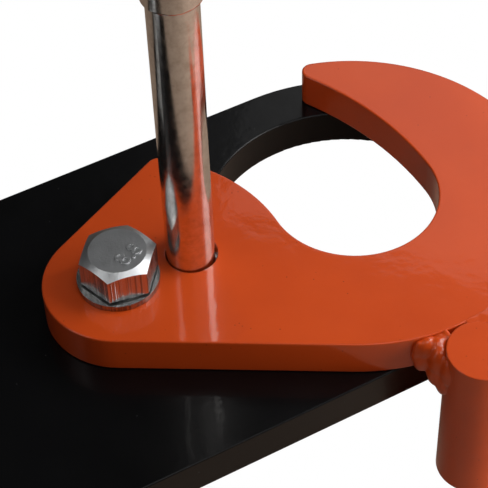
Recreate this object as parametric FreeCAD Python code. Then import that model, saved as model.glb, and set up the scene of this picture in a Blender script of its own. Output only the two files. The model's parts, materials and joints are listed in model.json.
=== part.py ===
import FreeCAD, Part
import math
import os

from FreeCAD import Vector

os.makedirs("parts", exist_ok=True)

# Hook-jaw lifting clamp. A black carrier plate hangs from a shackle at its tail and has a round load
# eye at its nose. An orange jaw swings about a bolt on top of the carrier, and its curved slot
# closes round the neck of the load. A chrome pin locks the jaw, closed or open, to the carrier.
#
# Origin: centre of the load eye, on the carrier's underside. +X runs from the tail to the nose,
# +Z points from the carrier to the jaw. All sizes are in millimetres and degrees.

# ---- driving dimensions ----
PLATE_T = 10.3            # 10 mm steel with its powder coat, carrier and jaw alike
EDGE_ROUND = 0.35         # cut edges are dressed before coating
JAW_PLAY = 0.15           # free play of the jaw under it and over it

CARRIER_W = 100.5         # 100 mm flat bar with its powder coat
EYE_R = 37.0
PIVOT_TO_EYE = 65.2
PIVOT_ASIDE = 0.26        # pivot hole off the bar's centre line
PIVOT_TO_TAIL = 112.0
TAIL_CORNER_R = 20.0
TAIL_TO_SHACKLE = 22.0

JAW_REST_ANGLE = -3.0     # jaw's centre line at rest, seen from above
JAW_CLOSE_TRAVEL = 2.6    # from rest until the stop peg meets the carrier's edge
JAW_OPEN_TRAVEL = -60.0   # from rest until the hook has left the eye
LOBE_R = 19.25            # jaw round the pivot
CROWN_R = 50.0            # jaw round the end of its slot
SLOT_REACH = 64.4         # pivot to the slot's centre line
SLOT_W = 43.2
HOOK_TIP_R = 3.0

PEG_R = 9.0
PEG_LENGTH = 45.0
PEG_ANGLE = -87.5         # round the crown, from the jaw's centre line
PEG_ROOT_GAP = 0.3
BEAD_HALF_GAP = 2.2       # open root between the two weld beads
BEAD_WIDTH = 7.0

BOLT_R = 5.0              # M10
BOLT_HOLE_R = 5.3
HEX_AF = 16.8
HEX_TURN = -130.6
HEAD_FLAT_SHARE = 0.842   # flat top of the head, as a share of its width across flats
HEAD_CHAMFER = 1.9
WASHER_FACE = 0.65        # raised ring under the head
HEAD_H = 8.9              # from the washer, with the raised ring
WASHER_R = 10.15
WASHER_BORE_R = 5.5
WASHER_T = 1.6
NUT_H = 8.0
NUT_TURN = 12.0
NUT_COLLAR = 3.0
NUT_COLLAR_R = 7.9
INSERT_R = 6.6
BOLT_PAST_NUT = 4.2
THREAD_PITCH = 1.5
THREAD_DEPTH = 0.6
BUSH_R = 7.0
BUSH_FIT = 0.05

PIN_R = 6.0
PIN_HOLE_R = 6.5
PIN_OFFSET = 19.1         # pivot to the lock hole, along the jaw's centre line
PIN_LEAN = -0.3           # the sprung ball pushes the pin towards the pivot
PIN_TRAVEL = 10.5
PIN_TIP_RAISE = 0.8       # tip above the jaw's underside when unlocked
SLEEVE_R = 7.05
SLEEVE_LENGTH = 42.0
SLEEVE_ABOVE_JAW = 81.4
SLEEVE_CAP = 2.4
ROLL_PIN_R = 1.5
ROLL_PIN_UP = 8.0         # above the sleeve's lower rim
TEE_R = 3.0
TEE_LENGTH = 84.0
TEE_BELOW_TOP = 9.0
CAP_R = 5.5
BALL_R = 1.9
BALL_SEAT = 0.7           # ball's centre outside the pin's surface
BALL_BORE_R = 2.0
GRUB_BORE_R = 2.5
GRUB_LENGTH = 7.0
GRUB_SETBACK = 0.8

SHACKLE_PIN_R = 8.0
SHACKLE_HOLE_R = 8.5
SHACKLE_BAR_R = 6.75
SHACKLE_JAW = 22.0        # inside width at the ears
SHACKLE_BOW = 36.0        # inside width at the bow
SHACKLE_LENGTH = 56.0     # from the bolt's axis to the inside of the bow
SHACKLE_EAR_R = 15.5
SHACKLE_HEX = 24.0
SHACKLE_HEX_RIM = 14.0
SHACKLE_HEX_FLAT = 11.4
SHACKLE_HEAD_H = 10.0
SHACKLE_NUT_H = 13.0
SHACKLE_BOLT_PAST = 23.0
COTTER_UP = 6.0           # from the bolt's end
COTTER_R = 1.9
SPACER_R = 13.0

TAG_SIZE = (46.0, 24.0, 0.8)
TAG_CENTRE = (-135.0, 26.0)
RIVET_R = 1.5

# ---- places worked out from them ----
Z = Vector(0, 0, 1)
PIVOT = Vector(-PIVOT_TO_EYE, PIVOT_ASIDE, 0)
JAW_Z = PLATE_T + JAW_PLAY
JAW_TOP = JAW_Z + PLATE_T
BUSH_TOP = JAW_TOP + JAW_PLAY
SHACKLE = Vector(-PIVOT_TO_EYE - PIVOT_TO_TAIL + TAIL_TO_SHACKLE, 0, 0)
MID_Z = PLATE_T / 2
WASHER_DRIFT = Vector(-0.4, 0.22, 0)     # the washer's hole is larger than the bolt


def cyl(radius, z0, z1, centre=Vector()):
    """Upright cylinder between two heights."""
    return Part.makeCylinder(radius, z1 - z0, Vector(centre.x, centre.y, z0), Z)


def rod(radius, start, end):
    """Round bar between two points."""
    return Part.makeCylinder(radius, (end - start).Length, start, end - start)


def ring(outer, inner, z0, z1, centre=Vector()):
    return cyl(outer, z0, z1, centre).cut(cyl(inner, z0 - 1, z1 + 1, centre))


def turned(profile, centre=Vector()):
    """Solid of revolution about a vertical axis from (radius, height) points."""
    points = [Vector(r, 0, z) for r, z in profile]
    face = Part.Face(Part.makePolygon(points + points[:1]))
    shape = face.revolve(Vector(), Z, 360)
    shape.translate(Vector(centre.x, centre.y, 0))
    return shape


def hexagon(across_flats, z0, z1, centre=Vector(), turn=0.0):
    corner = across_flats / math.sqrt(3)
    points = [polar(corner, turn + 60 * k) + Vector(0, 0, z0) for k in range(7)]
    prism = Part.Face(Part.makePolygon(points)).extrude(Z * (z1 - z0))
    prism.translate(Vector(centre.x, centre.y, 0))
    return prism


def polar(radius, angle):
    return Vector(radius * math.cos(math.radians(angle)), radius * math.sin(math.radians(angle)), 0)


def place_jaw(shape, travel=0.0):
    """Move a shape from the jaw's own frame, pivot at the origin, to its place on the carrier."""
    shape = shape.copy()
    shape.rotate(Vector(), Z, JAW_REST_ANGLE + travel)
    shape.translate(PIVOT)
    return shape


def round_rims(solid, radius, levels):
    """Round every edge that lies wholly at one of the given heights."""
    rims = []
    for edge in solid.Edges:
        low, high = edge.BoundBox.ZMin, edge.BoundBox.ZMax
        flat = high - low < 1e-6
        if flat and any(abs(low - z) < 1e-6 for z in levels):
            rims.append(edge)
    return solid.makeFillet(radius, rims)


# ---- carrier plate ----
def lock_hole_cutter():
    """Holes for the lock pin: a short curved one where the jaw closes, a round one where it is open."""
    hole = cyl(PIN_HOLE_R, -1, PLATE_T + 1, Vector(PIN_OFFSET, 0, 0))
    inner = PIN_OFFSET - PIN_HOLE_R
    outer = PIN_OFFSET + PIN_HOLE_R
    band = Part.makeCylinder(outer, PLATE_T + 2, Vector(0, 0, -1), Z, JAW_CLOSE_TRAVEL)
    band = band.cut(cyl(inner, -2, PLATE_T + 2))
    shape = place_jaw(band)
    for travel in (0, JAW_CLOSE_TRAVEL, JAW_OPEN_TRAVEL):
        shape = shape.fuse(place_jaw(hole, travel))
    return shape


def carrier_plate():
    length = PIVOT_TO_TAIL + PIVOT_TO_EYE
    blank = Part.makeBox(length, CARRIER_W, PLATE_T, Vector(-length, -CARRIER_W / 2, 0))
    corners = [e for e in blank.Edges if e.BoundBox.ZLength > 1 and e.BoundBox.XMax < -length + 1]
    blank = blank.makeFillet(TAIL_CORNER_R, corners)
    blank = blank.fuse(cyl(CARRIER_W / 2, 0, PLATE_T)).removeSplitter()
    blank = blank.cut(cyl(EYE_R, -1, PLATE_T + 1))
    blank = round_rims(blank, EDGE_ROUND, (0, PLATE_T))
    holes = cyl(BOLT_HOLE_R, -1, PLATE_T + 1, PIVOT)
    holes = holes.fuse(cyl(SHACKLE_HOLE_R, -1, PLATE_T + 1, SHACKLE)).fuse(lock_hole_cutter())
    for place in rivet_places():
        holes = holes.fuse(cyl(RIVET_R + 0.05, PLATE_T - 5, PLATE_T + 1, place))
    return blank.cut(holes)


# ---- swing jaw, drawn with its pivot at the origin and its centre line along +X ----
def jaw_blank():
    """Outline of a strap round the pivot circle and the crown circle, joined by their tangents."""
    lean = math.degrees(math.asin((CROWN_R - LOBE_R) / SLOT_REACH))
    crown = Vector(SLOT_REACH, 0, 0)
    side = 90 + lean
    lobe_top, lobe_low = polar(LOBE_R, side), polar(LOBE_R, -side)
    crown_top, crown_low = crown + polar(CROWN_R, side), crown + polar(CROWN_R, -side)
    edges = [
        Part.Arc(lobe_top, polar(LOBE_R, 180), lobe_low).toShape(),
        Part.makeLine(lobe_low, crown_low),
        Part.Arc(crown_low, crown + polar(CROWN_R, 0), crown_top).toShape(),
        Part.makeLine(crown_top, lobe_top),
    ]
    face = Part.Face(Part.Wire(edges))
    face.translate(Z * JAW_Z)
    return face.extrude(Z * PLATE_T)


def slot_cutter():
    """Curved slot about the pivot, from a round end on the centre line out through the upper edge."""
    z0, z1 = JAW_Z - 1, JAW_TOP + 1
    sweep = 75
    band = Part.makeCylinder(SLOT_REACH + SLOT_W / 2, z1 - z0, Vector(0, 0, z0), Z, sweep)
    band = band.cut(cyl(SLOT_REACH - SLOT_W / 2, z0 - 1, z1 + 1))
    return band.fuse(cyl(SLOT_W / 2, z0, z1, Vector(SLOT_REACH, 0, 0)))


def swing_jaw():
    jaw = jaw_blank().cut(slot_cutter()).removeSplitter()
    outer = SLOT_REACH + SLOT_W / 2
    inner = SLOT_REACH - SLOT_W / 2
    tips = []
    for edge in jaw.Edges:
        middle = edge.BoundBox.Center
        reach = math.hypot(middle.x, middle.y)
        upright = edge.BoundBox.ZLength > 1
        if upright and middle.y > 25 and (abs(reach - outer) < 0.1 or abs(reach - inner) < 0.1):
            tips.append(edge)
    jaw = jaw.makeFillet(HOOK_TIP_R, tips)
    jaw = round_rims(jaw, EDGE_ROUND, (JAW_Z, JAW_TOP))
    middle = JAW_Z + PLATE_T / 2
    holes = cyl(BUSH_R + BUSH_FIT, JAW_Z - 1, JAW_TOP + 1)
    holes = holes.fuse(cyl(PIN_HOLE_R, JAW_Z - 1, JAW_TOP + 1, Vector(PIN_OFFSET, 0, 0)))
    ball_bore = rod(BALL_BORE_R, Vector(PIN_OFFSET, 0, middle), Vector(inner + 1, 0, middle))
    thread_start = inner - GRUB_SETBACK - GRUB_LENGTH - 0.2
    thread_bore = rod(GRUB_BORE_R, Vector(thread_start, 0, middle), Vector(inner + 1, 0, middle))
    return jaw.cut(holes.fuse(ball_bore).fuse(thread_bore))


def peg_centre():
    return Vector(SLOT_REACH, 0, 0) + polar(CROWN_R + PEG_R + PEG_ROOT_GAP, PEG_ANGLE)


def stop_peg():
    return cyl(PEG_R, JAW_TOP - PEG_LENGTH, JAW_TOP, peg_centre())


def stop_peg_weld(jaw, peg):
    """Two beads in the corners between the peg and the crown, with the open root between them."""
    beads = []
    crown = Vector(SLOT_REACH, 0, 0)
    for side in (-1, 1):
        bead = Part.makeBox(CROWN_R, BEAD_WIDTH, PLATE_T - 1, Vector(CROWN_R - 12, 0, JAW_Z + 0.5))
        bead = bead.common(cyl(CROWN_R + 4.2, JAW_Z, JAW_TOP))
        bead.translate(Vector(0, BEAD_HALF_GAP if side > 0 else -BEAD_HALF_GAP - BEAD_WIDTH, 0))
        bead.rotate(Vector(), Z, PEG_ANGLE)
        bead.translate(crown)
        beads.append(bead.cut(jaw).cut(peg))
    return Part.makeCompound([solid for bead in beads for solid in bead.Solids])


# ---- pivot bolt, bush, washers and lock nut ----
def pivot_bolt():
    head_low = BUSH_TOP + WASHER_T
    head_top = head_low + HEAD_H
    corner = HEX_AF / math.sqrt(3)
    flat_r = HEAD_FLAT_SHARE * HEX_AF / 2
    head = hexagon(HEX_AF, head_low + WASHER_FACE, head_top, turn=HEX_TURN)
    crown = [(0, head_low), (corner + 1, head_low), (corner + 1, head_top - HEAD_CHAMFER)]
    crown += [(flat_r, head_top), (0, head_top)]
    head = head.common(turned(crown))
    face = cyl(HEX_AF / 2 - 0.4, head_low, head_low + WASHER_FACE + 0.1)
    end = -WASHER_T - NUT_H - BOLT_PAST_NUT
    root = BOLT_R - THREAD_DEPTH
    profile = [(0, head_low + 1), (BOLT_R, head_low + 1)]
    z = 2.0
    profile.append((BOLT_R, z))
    while z - THREAD_PITCH > end + 1:
        profile += [(root, z - THREAD_PITCH / 2), (BOLT_R, z - THREAD_PITCH)]
        z -= THREAD_PITCH
    profile += [(root, end), (0, end)]
    bolt = head.fuse(face).fuse(turned(profile))
    bolt.translate(PIVOT)
    return bolt


def pivot_lock_nut():
    top = -WASHER_T
    low = top - NUT_H
    end = low - NUT_COLLAR
    corner = HEX_AF / math.sqrt(3)
    nut = hexagon(HEX_AF, low, top, turn=NUT_TURN)
    nut = nut.common(turned([(0, top), (NUT_COLLAR_R, top), (corner, top - 1), (corner, low), (0, low)]))
    nut = nut.fuse(turned([(0, low), (NUT_COLLAR_R, low), (NUT_COLLAR_R - 0.7, end), (0, end)]))
    nut = nut.cut(cyl(BOLT_R + 0.05, end - 1, top + 1))
    nut = nut.cut(cyl(INSERT_R, end + 0.7, low + 0.3))
    nut.translate(PIVOT)
    return nut


def lock_nut_insert():
    top = -WASHER_T - NUT_H
    return ring(INSERT_R - 0.05, BOLT_R + 0.02, top - 2.2, top + 0.2, PIVOT)


# ---- lock pin, in the jaw's own frame ----
PIN_AXIS = Vector(PIN_OFFSET + PIN_LEAN, 0, 0)
PIN_TIP = JAW_Z + PIN_TIP_RAISE
SLEEVE_LOW = JAW_TOP + SLEEVE_ABOVE_JAW
SLEEVE_TOP = SLEEVE_LOW + SLEEVE_LENGTH
TEE_Z = SLEEVE_TOP - TEE_BELOW_TOP
BALL_Z = JAW_Z + PLATE_T / 2


def tee_hole(radius):
    return rod(radius, PIN_AXIS + Vector(-12, 0, TEE_Z), PIN_AXIS + Vector(12, 0, TEE_Z))


def roll_hole_cutter():
    across = PIN_AXIS + Vector(0, 0, SLEEVE_LOW + ROLL_PIN_UP)
    return rod(ROLL_PIN_R + 0.05, across - Vector(20, 0, 0), across + Vector(20, 0, 0))


def lock_pin_shank():
    top = SLEEVE_TOP - SLEEVE_CAP - 0.1
    profile = [(0, PIN_TIP), (PIN_R - 1, PIN_TIP), (PIN_R, PIN_TIP + 1.2), (PIN_R, top), (0, top)]
    pin = turned(profile, PIN_AXIS)
    # a round-nosed groove on the side away from the pivot keeps the ball and limits the travel
    nose = BALL_R + 0.15
    groove_x = PIN_R + BALL_SEAT
    low = PIN_AXIS + Vector(groove_x, 0, BALL_Z)
    high = low + Z * PIN_TRAVEL
    groove = rod(nose, low, high).fuse(Part.makeSphere(nose, low)).fuse(Part.makeSphere(nose, high))
    return pin.cut(groove).cut(tee_hole(TEE_R + 0.05)).cut(roll_hole_cutter())


def lock_pin_sleeve():
    """Sleeve with rounded rims, closed at its top."""
    sleeve = cyl(SLEEVE_R, SLEEVE_LOW, SLEEVE_TOP, PIN_AXIS)
    sleeve = round_rims(sleeve, 1.2, (SLEEVE_TOP,))
    sleeve = round_rims(sleeve, 0.8, (SLEEVE_LOW,))
    sleeve = sleeve.cut(cyl(PIN_R + 0.03, SLEEVE_LOW - 1, SLEEVE_TOP - SLEEVE_CAP, PIN_AXIS))
    return sleeve.cut(tee_hole(TEE_R + 0.05)).cut(roll_hole_cutter())


def sleeve_roll_pin():
    across = PIN_AXIS + Vector(0, 0, SLEEVE_LOW + ROLL_PIN_UP)
    half = Vector(SLEEVE_R - 0.3, 0, 0)
    bore = rod(0.8, across - half * 2, across + half * 2)
    tube = rod(ROLL_PIN_R, across - half, across + half).cut(bore)
    split = Part.makeBox(4 * SLEEVE_R, 0.5, 3, across + Vector(-2 * SLEEVE_R, -0.25, 0))
    return tube.cut(split)


def tee_bar():
    half = Vector(TEE_LENGTH / 2, 0, 0)
    centre = PIN_AXIS + Vector(0, 0, TEE_Z)
    return rod(TEE_R, centre - half, centre + half)


def tee_bar_caps():
    caps = []
    for side in (-1, 1):
        end = PIN_AXIS + Vector(side * TEE_LENGTH / 2, 0, TEE_Z)
        ball = Part.makeSphere(CAP_R, end)
        bore = rod(TEE_R, end - Vector(side * 2 * CAP_R, 0, 0), end)
        caps.append(ball.cut(bore))
    return Part.makeCompound(caps)


def ball_place():
    return PIN_AXIS + Vector(PIN_R + BALL_SEAT, 0, BALL_Z)


def detent_spring():
    """Closed coil spring between the ball and the grub screw."""
    wire, coil, length, turns = 0.28, 1.55, 6.4, 8
    start = ball_place() + Vector(BALL_R + wire + 0.05, 0, 0)
    pitch = length / turns
    helix = Part.makeHelix(pitch, length, coil)
    edge = Part.Wire(helix.Edges)
    circle = Part.makeCircle(wire, Vector(coil, 0, 0), Vector(0, 2 * math.pi * coil, pitch))
    spring = edge.makePipeShell([Part.Wire([circle])], True, True)
    spring.rotate(Vector(), Vector(0, 1, 0), 90)
    spring.translate(start)
    return spring


def detent_grub_screw():
    inner = SLOT_REACH - SLOT_W / 2
    start = ball_place() + Vector(BALL_R + 7.4, 0, 0)
    end = Vector(inner - GRUB_SETBACK, 0, BALL_Z)
    body_start = end - Vector(GRUB_LENGTH, 0, 0)
    screw = rod(GRUB_BORE_R - 0.05, body_start, end).fuse(rod(1.8, start, body_start))
    socket = hexagon(2.5, 0, 2.6)
    socket.rotate(Vector(), Vector(0, 1, 0), 90)
    socket.translate(end - Vector(2.5, 0, 0))
    return screw.cut(socket)


# ---- shackle, drawn with its bolt on the Z axis at the origin and its bow towards -X ----
def shackle_path():
    """Centre line of the bow: two straight legs that open out to a round bow."""
    leg = SHACKLE_JAW / 2 + SHACKLE_BAR_R
    bow = SHACKLE_BOW / 2 + SHACKLE_BAR_R
    crown_x = -(SHACKLE_LENGTH + SHACKLE_BAR_R)
    centre_x = crown_x + bow
    turn = math.radians(35)
    ends = []
    for side in (1, -1):
        shoulder = Vector(centre_x + bow * math.sin(turn), 0, side * bow * math.cos(turn))
        ends.append((Vector(0, 0, side * leg), shoulder))
    arc = Part.Arc(ends[0][1], Vector(crown_x, 0, 0), ends[1][1]).toShape()
    neck = Vector(-9, 0, 0)
    first = Part.makeLine(ends[0][0], ends[0][0] + neck)
    outward = Vector(-math.cos(turn), 0, math.sin(turn))
    homeward = Vector(math.cos(turn), 0, math.sin(turn))
    X = Vector(1, 0, 0)
    bend = Part.BSplineCurve()
    bend.interpolate([ends[0][0] + neck, ends[0][1]], InitialTangent=-X, FinalTangent=outward)
    back = Part.BSplineCurve()
    back.interpolate([ends[1][1], ends[1][0] + neck], InitialTangent=homeward, FinalTangent=X)
    last = Part.makeLine(ends[1][0] + neck, ends[1][0])
    return Part.Wire([first, bend.toShape(), arc, back.toShape(), last]), ends[0][0]


def shackle_bow():
    path, start = shackle_path()
    section = Part.Wire([Part.makeCircle(SHACKLE_BAR_R, start, Vector(-1, 0, 0))])
    bow = path.makePipeShell([section], True, True)
    ear_t = 2 * SHACKLE_BAR_R
    for side in (1, -1):
        low = SHACKLE_JAW / 2 if side > 0 else -SHACKLE_JAW / 2 - ear_t
        ear = cyl(SHACKLE_EAR_R, low, low + ear_t)
        bow = bow.fuse(ear.makeFillet(2.0, ear.Edges[0:1] + ear.Edges[2:3]))
    return place_shackle(bow.cut(cyl(SHACKLE_PIN_R + 0.2, -60, 60)))


def place_shackle(shape):
    shape = shape.copy()
    shape.translate(SHACKLE + Z * MID_Z)
    return shape


SHACKLE_SIDE = SHACKLE_JAW / 2 + 2 * SHACKLE_BAR_R


def shackle_bolt():
    top = SHACKLE_SIDE + SHACKLE_HEAD_H
    head = hexagon(SHACKLE_HEX, SHACKLE_SIDE, top, turn=15)
    rim = [(0, SHACKLE_SIDE), (SHACKLE_HEX_RIM, SHACKLE_SIDE), (SHACKLE_HEX_RIM, top - 1.4)]
    rim += [(SHACKLE_HEX_FLAT, top), (0, top)]
    head = head.common(turned(rim))
    end = -SHACKLE_SIDE - SHACKLE_BOLT_PAST
    shank = turned([(0, SHACKLE_SIDE + 1), (SHACKLE_PIN_R, SHACKLE_SIDE + 1), (SHACKLE_PIN_R, end + 1.5),
                    (SHACKLE_PIN_R - 1.5, end), (0, end)])
    cotter_hole = rod(COTTER_R + 0.2, Vector(0, -20, end + COTTER_UP), Vector(0, 20, end + COTTER_UP))
    return place_shackle(head.fuse(shank).cut(cotter_hole))


def shackle_nut():
    top = -SHACKLE_SIDE
    low = top - SHACKLE_NUT_H
    nut = hexagon(SHACKLE_HEX, low, top, turn=5)
    rim = [(0, top), (SHACKLE_HEX_FLAT, top), (SHACKLE_HEX_RIM, top - 1.5)]
    rim += [(SHACKLE_HEX_RIM, low + 1.5), (SHACKLE_HEX_FLAT, low), (0, low)]
    return place_shackle(nut.common(turned(rim)).cut(cyl(SHACKLE_PIN_R + 0.05, top - 20, top + 1)))


def shackle_cotter():
    z = -SHACKLE_SIDE - SHACKLE_BOLT_PAST + COTTER_UP
    straight = rod(COTTER_R, Vector(0, -12, z), Vector(0, 9.6, z))
    eye = Part.makeTorus(3.2, COTTER_R * 0.7, Vector(0, -12 - 2.8, z), Vector(1, 0, 0))
    legs = []
    for side in (1, -1):
        start = Vector(side * 0.9, 9.0, z)
        legs.append(rod(0.9, start, start + Vector(side * 7.5, 2.4, 0)))
        legs.append(Part.makeSphere(0.9, start + Vector(side * 7.5, 2.4, 0)))
    pin = straight.fuse([eye] + legs)
    return place_shackle(pin)


def shackle_spacers():
    """Two rings that keep the shackle centred on the carrier."""
    gap = 0.2
    low = PLATE_T / 2 + gap
    high = SHACKLE_JAW / 2 - gap
    bore = SHACKLE_PIN_R + 0.1
    rings = [ring(SPACER_R, bore, low, high), ring(SPACER_R, bore, -high, -low)]
    return place_shackle(Part.makeCompound(rings))


# ---- rating plate ----
def rivet_places():
    dx, dy = TAG_SIZE[0] / 2 - 4, TAG_SIZE[1] / 2 - 4
    return [Vector(TAG_CENTRE[0] + i * dx, TAG_CENTRE[1] + j * dy, 0) for i in (-1, 1) for j in (-1, 1)]


def rating_plate():
    corner = Vector(TAG_CENTRE[0] - TAG_SIZE[0] / 2, TAG_CENTRE[1] - TAG_SIZE[1] / 2, PLATE_T)
    tag = Part.makeBox(*TAG_SIZE, corner)
    tag = tag.makeFillet(2.5, [e for e in tag.Edges if e.BoundBox.ZLength > 0.5])
    for place in rivet_places():
        tag = tag.cut(cyl(RIVET_R + 0.05, PLATE_T - 1, PLATE_T + 2, place))
    return tag


def rating_plate_rivets():
    top = PLATE_T + TAG_SIZE[2]
    rivets = []
    for place in rivet_places():
        dome = turned([(0, top), (2.8, top), (2.6, top + 0.6), (1.8, top + 1.1), (0, top + 1.35)], place)
        rivets.append(cyl(RIVET_R, PLATE_T - 4.5, top + 0.1, place).fuse(dome))
    return Part.makeCompound(rivets)


def export(name, shape):
    if not shape.isValid():
        print("NOT VALID", name)
    print(f"{name:24s} solids {len(shape.Solids)}  volume {shape.Volume / 1000:8.3f} cm3")
    shape.exportStep(f"parts/{name}.step")


jaw_shape = swing_jaw()
peg_shape = stop_peg()

nodes = {
    "carrier_plate": carrier_plate(),
    "swing_jaw": place_jaw(jaw_shape),
    "stop_peg": place_jaw(peg_shape),
    "stop_peg_weld": place_jaw(stop_peg_weld(jaw_shape, peg_shape)),
    "pivot_bolt": pivot_bolt(),
    "pivot_top_washer": ring(WASHER_R, WASHER_BORE_R, BUSH_TOP, BUSH_TOP + WASHER_T, PIVOT + WASHER_DRIFT),
    "pivot_bush": ring(BUSH_R, BOLT_R + 0.05, PLATE_T, BUSH_TOP, PIVOT),
    "pivot_bottom_washer": ring(WASHER_R, WASHER_BORE_R, -WASHER_T, 0, PIVOT),
    "pivot_lock_nut": pivot_lock_nut(),
    "lock_nut_insert": lock_nut_insert(),
    "lock_pin_shank": place_jaw(lock_pin_shank()),
    "lock_pin_sleeve": place_jaw(lock_pin_sleeve()),
    "sleeve_roll_pin": place_jaw(sleeve_roll_pin()),
    "tee_bar": place_jaw(tee_bar()),
    "tee_bar_caps": place_jaw(tee_bar_caps()),
    "detent_ball": place_jaw(Part.makeSphere(BALL_R, ball_place())),
    "detent_spring": place_jaw(detent_spring()),
    "detent_grub_screw": place_jaw(detent_grub_screw()),
    "shackle_bow": shackle_bow(),
    "shackle_bolt": shackle_bolt(),
    "shackle_nut": shackle_nut(),
    "shackle_cotter": shackle_cotter(),
    "shackle_spacers": shackle_spacers(),
    "rating_plate": rating_plate(),
    "rating_plate_rivets": rating_plate_rivets(),
}

for node, solid in nodes.items():
    export(node, solid)
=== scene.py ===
import json
import math
import random

import bmesh
import bpy
from mathutils import Matrix, Vector


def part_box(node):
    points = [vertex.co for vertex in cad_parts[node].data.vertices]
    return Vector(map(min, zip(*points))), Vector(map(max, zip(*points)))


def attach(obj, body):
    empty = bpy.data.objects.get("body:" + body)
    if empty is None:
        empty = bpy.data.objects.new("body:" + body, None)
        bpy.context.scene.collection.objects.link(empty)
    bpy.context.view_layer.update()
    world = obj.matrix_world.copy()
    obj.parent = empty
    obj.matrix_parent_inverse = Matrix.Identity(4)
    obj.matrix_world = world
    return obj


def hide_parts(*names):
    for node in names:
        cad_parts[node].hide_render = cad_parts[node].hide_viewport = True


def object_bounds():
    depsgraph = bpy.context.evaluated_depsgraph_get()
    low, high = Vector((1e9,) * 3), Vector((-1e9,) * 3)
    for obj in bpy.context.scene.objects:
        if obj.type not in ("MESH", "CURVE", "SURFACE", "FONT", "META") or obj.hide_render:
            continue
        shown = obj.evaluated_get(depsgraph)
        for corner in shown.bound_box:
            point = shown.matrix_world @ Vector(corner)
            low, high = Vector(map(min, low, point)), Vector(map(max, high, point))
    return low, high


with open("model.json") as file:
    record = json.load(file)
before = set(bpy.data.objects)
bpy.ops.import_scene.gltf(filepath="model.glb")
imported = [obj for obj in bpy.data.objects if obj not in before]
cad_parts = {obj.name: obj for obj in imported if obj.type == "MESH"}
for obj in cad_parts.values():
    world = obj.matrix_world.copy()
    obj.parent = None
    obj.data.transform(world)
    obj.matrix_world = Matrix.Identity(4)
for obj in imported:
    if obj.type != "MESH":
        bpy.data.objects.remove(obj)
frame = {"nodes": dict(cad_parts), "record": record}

MM = 0.001
cad_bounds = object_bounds()
nodes = frame["nodes"]


# ---- places, from the frame ----
def corners(node):
    low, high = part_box(node)
    return Vector(low), Vector(high)


def centre(node):
    low, high = corners(node)
    return (low + high) / 2


bolt_top = corners("pivot_bolt")[1].z
bolt_mid = centre("pivot_bolt")
peg_low, peg_high = corners("stop_peg")
peg_mid = centre("stop_peg")
peg_r = (peg_high.x - peg_low.x) / 2
tag_low, tag_high = corners("rating_plate")


# ---- material helpers ----
class Shader:
    """A node material with the few links that the finishes below share.

    Pattern scales are repeats per metre, and bump depths are in metres.
    """

    def __init__(self, name):
        self.material = bpy.data.materials.new(name)
        self.material.use_nodes = True
        self.tree = self.material.node_tree
        self.surface = self.tree.nodes["Principled BSDF"]
        self.where = self.tree.nodes.new("ShaderNodeTexCoord")

    def add(self, kind, **values):
        node = self.tree.nodes.new(kind)
        for key, value in values.items():
            setattr(node, key, value)
        return node

    def link(self, source, target):
        self.tree.links.new(source, target)

    def set(self, **values):
        for key, value in values.items():
            self.surface.inputs[key.replace("_", " ")].default_value = value

    def stretched(self, scale):
        """Object coordinates scaled by axis, so that a pattern runs along one of them."""
        mapping = self.add("ShaderNodeMapping")
        mapping.inputs["Scale"].default_value = scale
        self.link(self.where.outputs["Object"], mapping.inputs["Vector"])
        return mapping.outputs["Vector"]

    def noise(self, scale, detail=3.0, rough=0.5, vector=None):
        node = self.add("ShaderNodeTexNoise")
        node.inputs["Scale"].default_value = scale
        node.inputs["Detail"].default_value = detail
        node.inputs["Roughness"].default_value = rough
        self.link(vector or self.where.outputs["Object"], node.inputs["Vector"])
        return node.outputs["Fac"]

    def cells(self, scale):
        """Distance to the nearest of many scattered points."""
        node = self.add("ShaderNodeTexVoronoi")
        node.inputs["Scale"].default_value = scale
        self.link(self.where.outputs["Object"], node.inputs["Vector"])
        return node.outputs["Distance"]

    def span(self, source, low, high, to_low, to_high):
        """The source's low..high spread over to_low..to_high, and held at its ends."""
        node = self.add("ShaderNodeMapRange")
        for key, value in zip(("From Min", "From Max", "To Min", "To Max"), (low, high, to_low, to_high)):
            node.inputs[key].default_value = value
        self.link(source, node.inputs["Value"])
        return node.outputs["Result"]

    def mix(self, factor, first, second):
        node = self.add("ShaderNodeMix", data_type="RGBA")
        self.link(factor, node.inputs["Factor"])
        for key, colour in (("A", first), ("B", second)):
            socket = [s for s in node.inputs if s.name == key and s.type == "RGBA"][0]
            if isinstance(colour, tuple):
                socket.default_value = (*colour, 1)
            else:
                self.link(colour, socket)
        return [s for s in node.outputs if s.type == "RGBA"][0]

    def product(self, first, second):
        node = self.add("ShaderNodeMath", operation="MULTIPLY")
        self.link(first, node.inputs[0])
        self.link(second, node.inputs[1])
        return node.outputs[0]

    def upward(self, low, high):
        """1 on faces that look straight up or down, 0 on upright ones."""
        split = self.add("ShaderNodeSeparateXYZ")
        self.link(self.where.outputs["Normal"], split.inputs[0])
        size = self.add("ShaderNodeMath", operation="ABSOLUTE")
        self.link(split.outputs["Z"], size.inputs[0])
        return self.span(size.outputs[0], low, high, 0, 1)

    def soft_edges(self, radius):
        """Normals that round over sharp edges, as a thick coat does."""
        bevel = self.add("ShaderNodeBevel", samples=6)
        bevel.inputs["Radius"].default_value = radius
        return bevel.outputs["Normal"]

    def bumps(self, *layers, base=None):
        """Stacked bumps over a base normal; each layer is (height source, strength, depth in metres)."""
        normal = base
        for source, strength, depth in layers:
            bump = self.add("ShaderNodeBump")
            bump.inputs["Strength"].default_value = strength
            bump.inputs["Distance"].default_value = depth
            self.link(source, bump.inputs["Height"])
            if normal:
                self.link(normal, bump.inputs["Normal"])
            normal = bump.outputs["Normal"]
        self.link(normal, self.surface.inputs["Normal"])
        return normal


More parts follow.
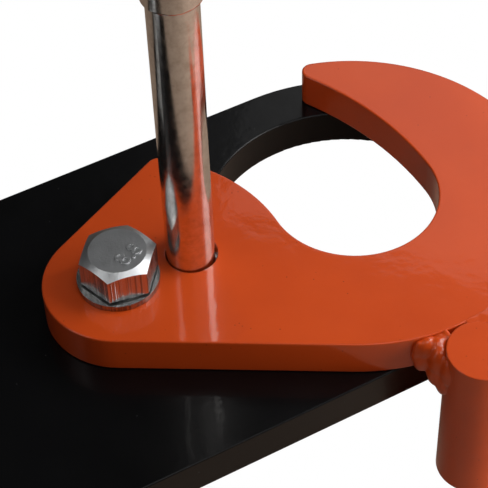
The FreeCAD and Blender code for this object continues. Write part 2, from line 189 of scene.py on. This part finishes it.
def powder_coat(name, thin, thick, fleck, rough, speck_share, gloss, coat):
    """Sprayed and baked coat with a glossy skin: faint cloudiness, orange peel and a few pitted flecks."""
    s = Shader(name)
    cloud = s.span(s.noise(38, 4), 0.35, 0.65, 0, 1)
    base = s.mix(cloud, thin, thick)
    speck = s.span(s.cells(520), 0.05, 0.11, 1, 0)
    chosen = s.span(s.noise(210, 1), speck_share, speck_share + 0.02, 0, 1)
    fleck_mask = s.product(speck, chosen)
    s.link(s.mix(fleck_mask, base, fleck), s.surface.inputs["Base Color"])
    s.link(s.span(s.noise(90, 5), 0.3, 0.7, rough - 0.02, rough + 0.03), s.surface.inputs["Roughness"])
    s.set(Coat_Weight=coat, Coat_Roughness=0.05, IOR=1.45, Specular_IOR_Level=gloss)
    swell = (s.noise(150, 2), 0.22, 0.0002)
    peel = (s.noise(640, 2), 0.22, 0.00006)
    pits = (fleck_mask, -0.5, 0.00012)
    relief = s.bumps(swell, peel, pits, base=s.soft_edges(0.6 * MM))
    s.link(relief, s.surface.inputs["Coat Normal"])
    return s.material


def machined_zinc(name, colour, rough):
    """Bright zinc: stippled on forged faces, drawn lines on upright ones."""
    s = Shader(name)
    up = s.upward(0.6, 0.8)
    lines = s.noise(1, 2, 0.7, s.stretched((2000, 2000, 14)))
    grain = s.noise(1500, 4, 0.6)
    upright = s.span(up, 0, 1, 1, 0)
    tone = s.mix(s.span(s.noise(260, 4), 0.3, 0.7, 0, 1), tuple(c * 0.86 for c in colour), colour)
    drawn = s.product(s.span(lines, 0.48, 0.60, 0, 1), upright)
    s.link(s.mix(drawn, tone, tuple(c * 0.42 for c in colour)), s.surface.inputs["Base Color"])
    s.set(Metallic=1.0)
    s.link(s.span(up, 0, 1, rough - 0.12, rough + 0.06), s.surface.inputs["Roughness"])
    s.bumps((s.product(lines, upright), 0.9, 0.00034), (s.product(grain, up), 0.6, 0.00009))
    return s.material


def polished_chrome(name):
    """Chrome plate over a ground bar: faint upright draw lines, small stains, patchy gloss."""
    s = Shader(name)
    stain = s.span(s.noise(380, 6, 0.7), 0.40, 0.66, 0, 1)
    s.link(s.mix(stain, (0.86, 0.84, 0.82), (0.64, 0.60, 0.56)), s.surface.inputs["Base Color"])
    s.set(Metallic=1.0)
    s.link(s.span(s.noise(300, 5, 0.65), 0.3, 0.7, 0.10, 0.24), s.surface.inputs["Roughness"])
    draw = s.noise(1, 2, 0.5, s.stretched((900, 900, 6)))
    s.bumps((draw, 0.10, 0.00005), (s.noise(700, 3), 0.12, 0.00004))
    return s.material


def galvanised(name):
    """Hot-dip zinc with soft spangles on an uneven skin."""
    s = Shader(name)
    tone = s.span(s.cells(170), 0.0, 0.9, 0, 1)
    s.link(s.mix(tone, (0.40, 0.42, 0.44), (0.60, 0.61, 0.62)), s.surface.inputs["Base Color"])
    s.set(Metallic=0.9)
    s.link(s.span(s.noise(220, 4), 0.3, 0.7, 0.34, 0.55), s.surface.inputs["Roughness"])
    s.bumps((s.noise(120, 3), 0.35, 0.0003), (s.noise(900, 3), 0.25, 0.00006))
    return s.material


def brushed(name, colour, rough, scales):
    """Metal with fine brush marks, drawn out along an axis where its scale is smaller."""
    s = Shader(name)
    lines = s.noise(1, 3, 0.6, s.stretched(scales))
    s.link(s.mix(lines, tuple(c * 0.8 for c in colour), colour), s.surface.inputs["Base Color"])
    s.set(Metallic=1.0, Anisotropic=0.4)
    s.link(s.span(lines, 0.3, 0.7, rough - 0.06, rough + 0.08), s.surface.inputs["Roughness"])
    s.bumps((lines, 0.25, 0.00004))
    return s.material


def porous_bronze(name):
    """Sintered bronze with dark open pores."""
    s = Shader(name)
    pores = s.span(s.cells(1400), 0.1, 0.35, 1, 0)
    s.link(s.mix(pores, (0.58, 0.38, 0.17), (0.20, 0.12, 0.05)), s.surface.inputs["Base Color"])
    s.set(Metallic=1.0, Roughness=0.38)
    s.bumps((pores, -0.3, 0.00005))
    return s.material


def moulded(name, colour, rough, grain):
    """Moulded plastic with a fine tool grain and slight handling wear."""
    s = Shader(name)
    wear = s.span(s.noise(130, 5, 0.6), 0.4, 0.75, 0, 1)
    s.link(s.mix(wear, colour, tuple(c * 1.6 + 0.01 for c in colour)), s.surface.inputs["Base Color"])
    s.link(s.span(wear, 0, 1, rough, rough + 0.12), s.surface.inputs["Roughness"])
    s.bumps((s.noise(grain, 2), 0.2, 0.00005))
    return s.material


orange = powder_coat(
    "orange_powder_coat", thin=(0.61, 0.066, 0.007), thick=(0.67, 0.077, 0.009), fleck=(0.30, 0.03, 0.006),
    rough=0.30, speck_share=0.60, gloss=0.30, coat=0.55)
black = powder_coat(
    "black_powder_coat", thin=(0.0026, 0.0026, 0.0028), thick=(0.0036, 0.0036, 0.0040),
    fleck=(0.03, 0.03, 0.03), rough=0.24, speck_share=0.66, gloss=0.26, coat=0.10)
zinc = machined_zinc("bright_zinc", (0.66, 0.67, 0.68), 0.34)
washer_zinc = machined_zinc("washer_zinc", (0.46, 0.46, 0.45), 0.20)
chrome = polished_chrome("chrome_plate")
galvanised_steel = galvanised("galvanised_steel")
spring_steel = brushed("spring_steel", (0.45, 0.45, 0.46), 0.30, (900, 900, 900))
tag_steel = brushed("brushed_stainless", (0.66, 0.66, 0.65), 0.30, (20, 3000, 3000))
bronze = porous_bronze("sintered_bronze")
nylon = moulded("blue_nylon", (0.02, 0.09, 0.35), 0.40, 900)
phenolic = moulded("black_phenolic", (0.010, 0.010, 0.011), 0.18, 500)

FINISHES = {
    "carrier_coat": black, "jaw_coat": orange, "zinc": zinc, "bronze": bronze, "nylon": nylon,
    "pin_chrome": chrome, "spring_steel": spring_steel, "cap_plastic": phenolic,
    "shackle_steel": galvanised_steel, "tag_steel": tag_steel,
}


def finish_nodes():
    """Every node gets its slot's finish; the washers have a darker and smoother zinc than the bolt."""
    for part in frame["record"]["subparts"]:
        name = part["node"]
        finish = washer_zinc if name.endswith("_washer") else FINISHES[part["material_slot"]]
        mesh = nodes[name].data
        mesh.materials.clear()
        mesh.materials.append(finish)


# ---- pieces ----
def add_piece(name, mesh, material, body):
    piece = bpy.data.objects.new(name, mesh)
    bpy.context.collection.objects.link(piece)
    mesh.materials.clear()
    mesh.materials.append(material)
    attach(piece, body)
    return piece


def applied(source, name):
    """A plain mesh of an object with its modifiers applied; the source is removed."""
    bpy.context.view_layer.update()
    shown = source.evaluated_get(bpy.context.evaluated_depsgraph_get())
    mesh = bpy.data.meshes.new_from_object(shown)
    mesh.name = name
    mesh.transform(source.matrix_world)
    bpy.data.objects.remove(source)
    return mesh


def class_mark():
    """Raised strength class 8.8 on the bolt's head, a generic bolt grade."""
    aside, nearer, lift = 1.9 * MM, 2.5 * MM, 0.02 * MM
    turn = math.radians(22)
    text = bpy.data.curves.new("class_mark", "FONT")
    text.body = "8.8"
    text.size = 5.8 * MM
    text.extrude = 0.20 * MM
    text.bevel_depth = 0.09 * MM
    text.bevel_resolution = 2
    text.offset = 0.03 * MM
    text.align_x = "CENTER"
    text.align_y = "CENTER"
    source = bpy.data.objects.new("class_mark_source", text)
    bpy.context.collection.objects.link(source)
    place = Vector((bolt_mid.x + aside, bolt_mid.y - nearer, bolt_top + lift))
    source.matrix_world = Matrix.Translation(place) @ Matrix.Rotation(turn, 4, "Z")
    mesh = applied(source, "class_mark")
    add_piece("bolt_class_mark", mesh, zinc, "carrier")


def merged_blobs(name, blobs, fills):
    """One lumpy skin round sets of (centre, half sizes) ellipsoids and blocks."""
    voxel, ripple_size, ripple_height = 0.24 * MM, 3.4 * MM, 0.35 * MM
    build = bmesh.new()
    for place, half in fills:
        turn = Matrix.Translation(place) @ Matrix.Diagonal((*half, 1))
        bmesh.ops.create_cube(build, size=2, matrix=turn)
    for place, radii in blobs:
        turn = Matrix.Translation(place) @ Matrix.Diagonal((*radii, 1))
        bmesh.ops.create_icosphere(build, subdivisions=3, radius=1, matrix=turn)
    mesh = bpy.data.meshes.new(name)
    build.to_mesh(mesh)
    build.free()
    source = bpy.data.objects.new(name + "_source", mesh)
    bpy.context.collection.objects.link(source)
    remesh = source.modifiers.new("skin", "REMESH")
    remesh.mode = "VOXEL"
    remesh.voxel_size = voxel
    soft = source.modifiers.new("soft", "SMOOTH")
    soft.factor = 0.5
    soft.iterations = 14
    ripple = bpy.data.textures.new(name + "_ripple", "CLOUDS")
    ripple.noise_scale = ripple_size
    lumps = source.modifiers.new("lumps", "DISPLACE")
    lumps.texture = ripple
    lumps.texture_coords = "LOCAL"
    lumps.strength = ripple_height
    return applied(source, name)


def weld_beads():
    """Weld round the peg's root: a heavy lump on the tail side, a flush fill elsewhere, one open slit."""
    random.seed(4)
    top = peg_high.z
    inward = (Vector((0, 0, 0)) - Vector((peg_mid.x, peg_mid.y, 0))).normalized()
    along = Vector((inward.y, -inward.x, 0))
    root = Vector((peg_mid.x, peg_mid.y, 0)) + inward * peg_r
    crown_r, root_gap, bite = 50 * MM, 0.3 * MM, 0.9 * MM
    fill_depth, fill_half, bead_half = 1.2 * MM, 1.24 * MM, 1.6 * MM
    bead_depths = (3.0 * MM, 5.2 * MM, 7.4 * MM)
    step, first, last = 0.6 * MM, -9, 14
    slit = (-4.3 * MM, 1.0 * MM)
    flush_from = -5.2 * MM

    def spot(t, back, depth):
        """Point t along the root, back from the jaw towards the peg, and depth under the top."""
        place = root + along * t - inward * back
        place.z = top - depth
        return place

    blobs, fills = [], []
    for k in range(first, last + 1):
        t = k * step
        if slit[0] < t < slit[1]:
            continue
        peg_drop = peg_r - math.sqrt(peg_r ** 2 - t ** 2)
        jaw_drop = crown_r - math.sqrt(crown_r ** 2 - t ** 2) + root_gap
        middle = (peg_drop - jaw_drop) / 2
        half = (peg_drop + jaw_drop) / 2 + bite
        if t > flush_from:
            fills.append((spot(t, middle, fill_depth), (step, half, fill_half)))
        for depth in bead_depths:
            swell = half * random.uniform(0.92, 1.08)
            blobs.append((spot(t, middle, depth), (swell, swell, bead_half)))
    # the heavy end of the weld: (along, back, depth, half sizes) in mm
    lumps = (
        (-6.4, 0.4, 2.9, (2.6, 2.6, 2.7)),
        (-7.6, 0.8, 4.6, (3.4, 3.2, 4.4)),
        (-9.6, -0.4, 4.0, (3.2, 2.3, 3.9)),
        (-10.6, -0.2, 7.0, (2.8, 2.3, 3.5)),
        (-11.7, -1.0, 5.4, (1.7, 1.5, 4.9)),
        (-8.2, 3.0, 6.0, (3.1, 3.4, 5.2)),
        (-8.8, 3.3, 9.2, (2.7, 3.0, 4.2)),
        (-8.5, 5.6, 10.4, (2.0, 2.6, 4.4)),
        (-8.3, 6.6, 6.0, (1.7, 2.8, 4.6)),
    )
    for t, back, depth, radii in lumps:
        blobs.append((spot(t * MM, back * MM, depth * MM), tuple(r * MM for r in radii)))
    mesh = merged_blobs("weld_beads", blobs, fills)
    for polygon in mesh.polygons:
        polygon.use_smooth = True
    piece = add_piece("peg_weld_beads", mesh, orange, "jaw")
    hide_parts("stop_peg_weld")


def tag_relief():
    """Pressed border and blank field lines on the rating plate."""
    build = bmesh.new()
    top = tag_high.z
    inset, width, height = 1.6 * MM, 0.5 * MM, 0.18 * MM
    corner_gap, line_inset, rows = 5.5 * MM, 6 * MM, 4
    x0, x1 = tag_low.x + inset, tag_high.x - inset
    y0, y1 = tag_low.y + inset, tag_high.y - inset

    def bar(ax, ay, bx, by):
        size = (abs(bx - ax) + width, abs(by - ay) + width, 2 * height)
        place = Matrix.Translation(((ax + bx) / 2, (ay + by) / 2, top))
        bmesh.ops.create_cube(build, size=1, matrix=place @ Matrix.Diagonal((*size, 1)))

    for y in (y0, y1):
        bar(x0 + corner_gap, y, x1 - corner_gap, y)
    for x in (x0, x1):
        bar(x, y0 + corner_gap, x, y1 - corner_gap)
    for k in range(rows):
        y = y0 + (y1 - y0) * (k + 1) / (rows + 1)
        bar(x0 + line_inset, y, x1 - line_inset, y)
    mesh = bpy.data.meshes.new("tag_relief")
    build.to_mesh(mesh)
    build.free()
    piece = add_piece("rating_plate_relief", mesh, tag_steel, "carrier")
    round_off = piece.modifiers.new("round", "BEVEL")
    round_off.width = 0.12 * MM
    round_off.segments = 2


# ---- floor, light and camera ----
def floor():
    """Pale floor at the object's lowest point: white to the eye, dull in the object's reflections."""
    low = cad_bounds[0][2]
    bpy.ops.mesh.primitive_plane_add(size=6, location=(0, 0, low))
    plane = bpy.context.object
    plane.name = "floor"
    s = Shader("pale_floor")
    glow = s.add("ShaderNodeEmission")
    glow.inputs["Color"].default_value = (1, 1, 1, 1)
    glow.inputs["Strength"].default_value = 1.0
    dull = s.add("ShaderNodeBsdfDiffuse")
    dull.inputs["Color"].default_value = (0.42, 0.31, 0.235, 1)
    path = s.add("ShaderNodeLightPath")
    either = s.add("ShaderNodeMixShader")
    s.link(path.outputs["Is Camera Ray"], either.inputs[0])
    s.link(dull.outputs[0], either.inputs[1])
    s.link(glow.outputs[0], either.inputs[2])
    s.link(either.outputs[0], s.tree.nodes["Material Output"].inputs["Surface"])
    plane.data.materials.append(s.material)


def softbox(name, place, aim, size, power):
    """White rectangular lamp at a place, turned to its aim; sizes in metres, power in watts."""
    light = bpy.data.lights.new(name, "AREA")
    light.shape = "RECTANGLE"
    light.size, light.size_y = size
    light.energy = power
    lamp = bpy.data.objects.new(name, light)
    lamp.visible_camera = False
    bpy.context.collection.objects.link(lamp)
    lamp.location = place
    lamp.rotation_euler = (Vector(aim) - Vector(place)).to_track_quat("-Z", "Y").to_euler()


def studio():
    """Six softboxes and a faint fill; the world is white to the eye and nearly dark in reflections."""
    world = bpy.data.worlds.new("studio")
    bpy.context.scene.world = world
    world.use_nodes = True
    tree = world.node_tree
    fill = tree.nodes["Background"]
    fill.inputs["Color"].default_value = (1, 1, 1, 1)
    fill.inputs["Strength"].default_value = 0.035
    sweep = tree.nodes.new("ShaderNodeBackground")
    sweep.inputs["Color"].default_value = (1, 1, 1, 1)
    path = tree.nodes.new("ShaderNodeLightPath")
    either = tree.nodes.new("ShaderNodeMixShader")
    tree.links.new(path.outputs["Is Camera Ray"], either.inputs[0])
    tree.links.new(fill.outputs[0], either.inputs[1])
    tree.links.new(sweep.outputs[0], either.inputs[2])
    tree.links.new(either.outputs[0], tree.nodes["World Output"].inputs["Surface"])
    aim = (-0.02, 0, 0.02)
    softbox("key_box", (0.20, -0.08, 0.26), (-0.01, 0, 0.02), (0.18, 0.18), 0.70)
    softbox("top_box", (0.0, -0.30, 0.80), aim, (0.40, 0.40), 1.1)
    softbox("far_box", (0.70, 0.60, 0.60), aim, (0.70, 0.70), 1.3)
    softbox("crown_box", (-0.46, 0.11, 0.70), aim, (0.22, 0.22), 0.36)
    softbox("front_box", (0.28, -0.34, 0.07), aim, (0.25, 0.25), 1.25)
    softbox("left_strip", (-0.75, 0.05, 0.40), aim, (0.14, 0.8), 0.5)


def camera():
    """Long lens from above the shackle end's near side."""
    place = Vector((-167.30, -262.56, 338.57)) * MM
    pitch, roll, heading = (math.radians(angle) for angle in (42.408, 1.547, -29.100))
    data = bpy.data.cameras.new("camera")
    data.sensor_width = 36
    data.lens = 128.45
    data.clip_start = 0.01
    eye = bpy.data.objects.new("camera", data)
    bpy.context.collection.objects.link(eye)
    eye.location = place
    eye.rotation_euler = (pitch, roll, heading)
    bpy.context.scene.camera = eye


finish_nodes()
class_mark()
weld_beads()
tag_relief()
floor()
studio()
camera()
bpy.context.scene.view_settings.view_transform = "Standard"
